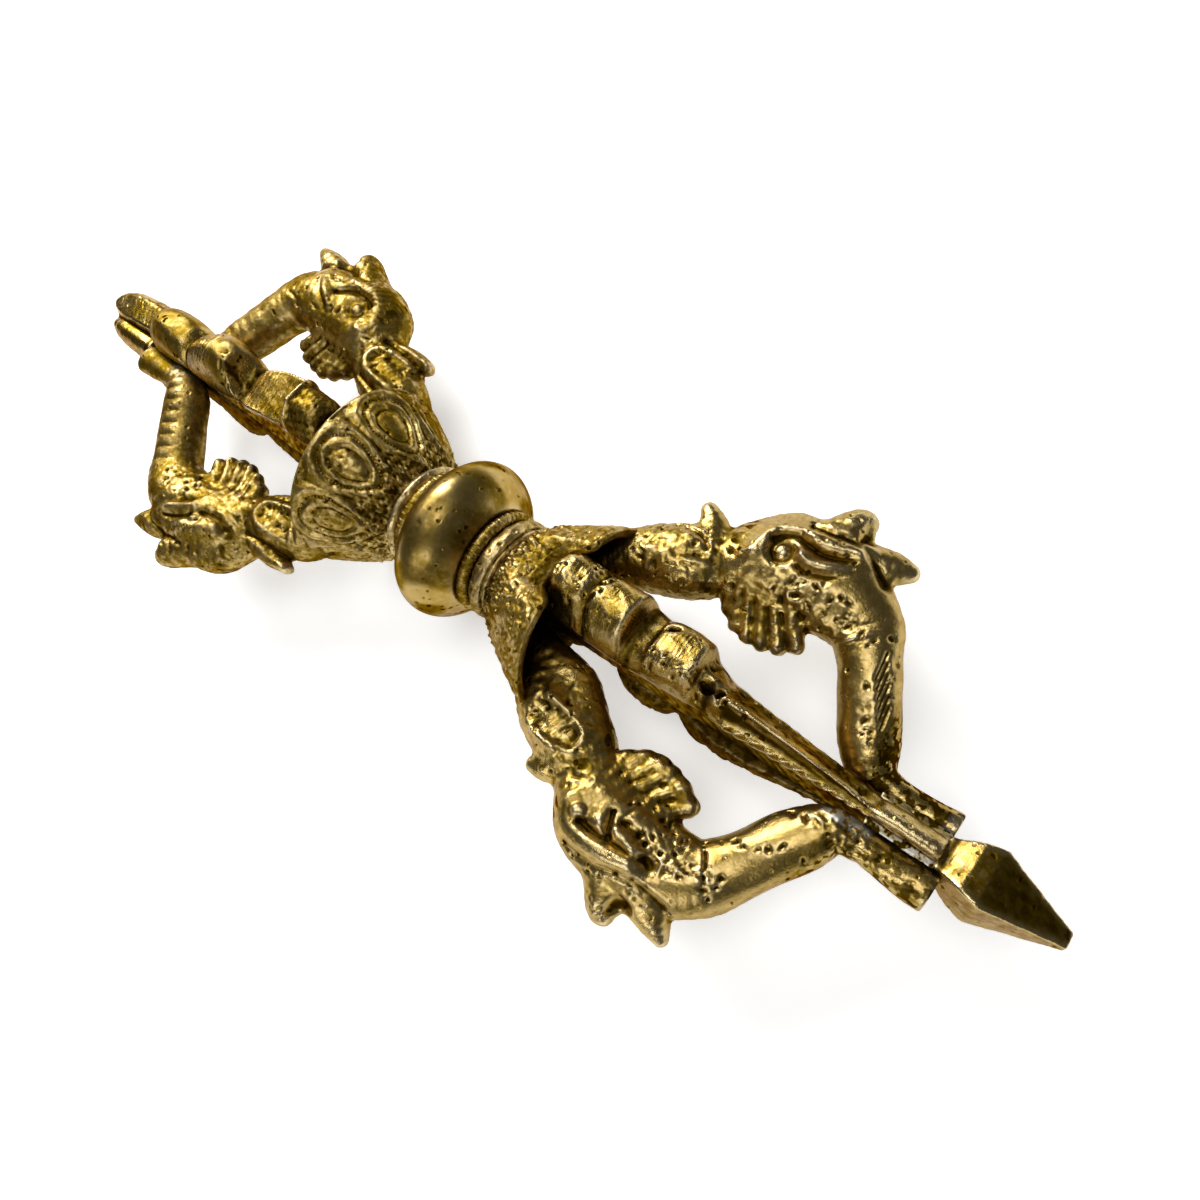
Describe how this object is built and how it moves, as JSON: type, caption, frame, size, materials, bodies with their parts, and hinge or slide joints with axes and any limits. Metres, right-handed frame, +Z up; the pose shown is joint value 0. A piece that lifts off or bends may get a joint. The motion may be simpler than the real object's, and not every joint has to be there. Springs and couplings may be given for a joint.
{
  "type": "vajra",
  "caption": "Cast brass vajra sceptre with a round grip between lotus cups; makara-headed prongs curve in to a spear-tipped centre prong at each end. Held in the hand in Buddhist ritual.",
  "frame": {"origin": "middle of the sceptre on its long axis, which is also the centre of its bounding box", "axes": "+X along the sceptre towards the front spear point, +Y to the left makara prongs, +Z up, square to the plane of the makara prongs"},
  "size_m": [0.16, 0.0568, 0.026],
  "materials": {
    "brass": "polished and worn, with dark patina in the recesses",
    "solder": "dull grey solder"
  },
  "bodies": {
    "root": {"grip_bulb": "brass", "front_beaded_wire": "brass", "rear_beaded_wire": "brass", "front_collar": "brass", "rear_collar": "brass", "front_lotus_cup": "brass", "rear_lotus_cup": "brass", "front_centre_prong": "brass", "rear_centre_prong": "brass", "front_upper_prong": "brass", "front_lower_prong": "brass", "rear_upper_prong": "brass", "rear_lower_prong": "brass", "front_left_makara": "brass", "front_right_makara": "brass", "rear_left_makara": "brass", "rear_right_makara": "brass", "front_left_solder": "solder", "front_right_solder": "solder", "rear_left_solder": "solder", "rear_right_solder": "solder"}
  },
  "joints": []
}
